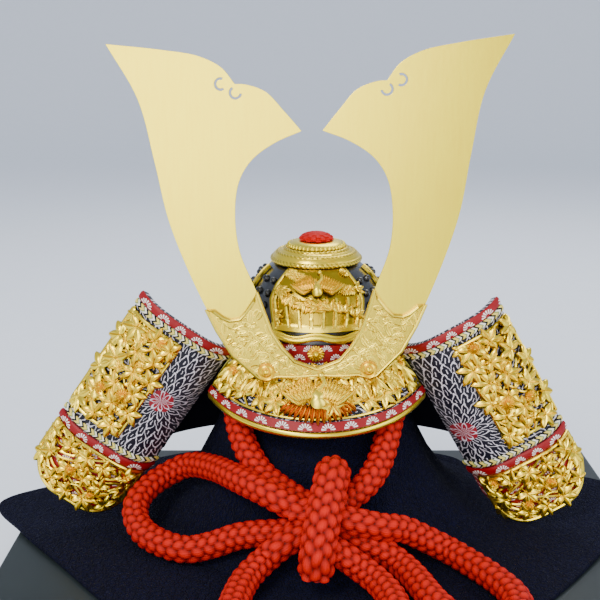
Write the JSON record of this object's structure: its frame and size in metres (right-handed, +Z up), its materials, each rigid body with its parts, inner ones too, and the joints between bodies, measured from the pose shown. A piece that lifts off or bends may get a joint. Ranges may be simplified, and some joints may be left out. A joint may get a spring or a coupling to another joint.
{
  "type": "kabuto samurai helmet on a cloth-draped display stand",
  "caption": "Display kabuto with horned gilt crest, turned-back side plates, flaring neck guard and chin cord tied in a bow, on a cloth-draped stand and plain board.",
  "frame": {"origin": "on the underside of the board, below the middle of the crest", "axes": "+Z up, the helmet looks along -Y, +X is on the right in the picture"},
  "size_m": [0.2817, 0.215, 0.2325],
  "materials": {
    "board_lacquer": "dark grey satin lacquer on wood",
    "black_lacquer": "satin black lacquer with round rivet heads",
    "cast_gold": "gilt cast relief with dark crevices",
    "satin_gold": "satin pale gold with bright edges",
    "printed_leather": "navy leather with pale printed line work",
    "red_leather": "red leather with small pale figures",
    "braided_silk": "flat silk braid in several colours",
    "laced_navy": "navy laced lames",
    "navy_crepe": "navy crepe cloth",
    "plain_wood": "plain turned wood, hidden by the cloth",
    "red_cord": "plump orange-red braided silk cord"
  },
  "bodies": {
    "root": {"display_board": "board_lacquer", "helmet_bowl": "black_lacquer", "crown_ring": "cast_gold", "front_relief_plate": "cast_gold", "visor_openwork": "cast_gold", "visor_crane": "cast_gold", "brow_stud": "cast_gold", "crest_stud_left": "cast_gold", "crest_stud_right": "cast_gold", "ridge_strip_1": "cast_gold", "ridge_strip_2": "cast_gold", "ridge_strip_3": "cast_gold", "ridge_strip_4": "cast_gold", "ridge_strip_5": "cast_gold", "leaf_fitting_upper_left": "cast_gold", "leaf_fitting_upper_right": "cast_gold", "leaf_fitting_lower_left": "cast_gold", "leaf_fitting_lower_right": "cast_gold", "crown_dome": "satin_gold", "brow_moulding": "satin_gold", "visor_rim": "satin_gold", "crest_holder": "satin_gold", "crest_horn_left": "satin_gold", "crest_horn_right": "satin_gold", "visor_plate": "printed_leather", "side_plate_upper_left": "printed_leather", "side_plate_upper_right": "printed_leather", "brow_band": "red_leather", "visor_red_strip": "red_leather", "side_plate_lower_left": "red_leather", "side_plate_lower_right": "red_leather", "red_band_upper_left": "red_leather", "red_band_upper_right": "red_leather", "red_band_lower_left": "red_leather", "red_band_lower_right": "red_leather", "braid_upper_left": "braided_silk", "braid_upper_right": "braided_silk", "braid_lower_left": "braided_silk", "braid_lower_right": "braided_silk", "neck_guard_lame_1": "laced_navy", "neck_guard_lame_2": "laced_navy", "neck_guard_lame_3": "laced_navy", "neck_guard_lame_4": "laced_navy", "cloth_cover": "navy_crepe", "stand_core": "plain_wood", "crown_tuft": "red_cord", "cord_knot": "red_cord", "cord_strand_left": "red_cord", "cord_strand_right": "red_cord", "cord_loop_left": "red_cord", "cord_loop_right": "red_cord", "cord_tail_left": "red_cord", "cord_tail_right": "red_cord", "cord_end_left": "red_cord", "cord_end_right": "red_cord"}
  },
  "joints": []
}
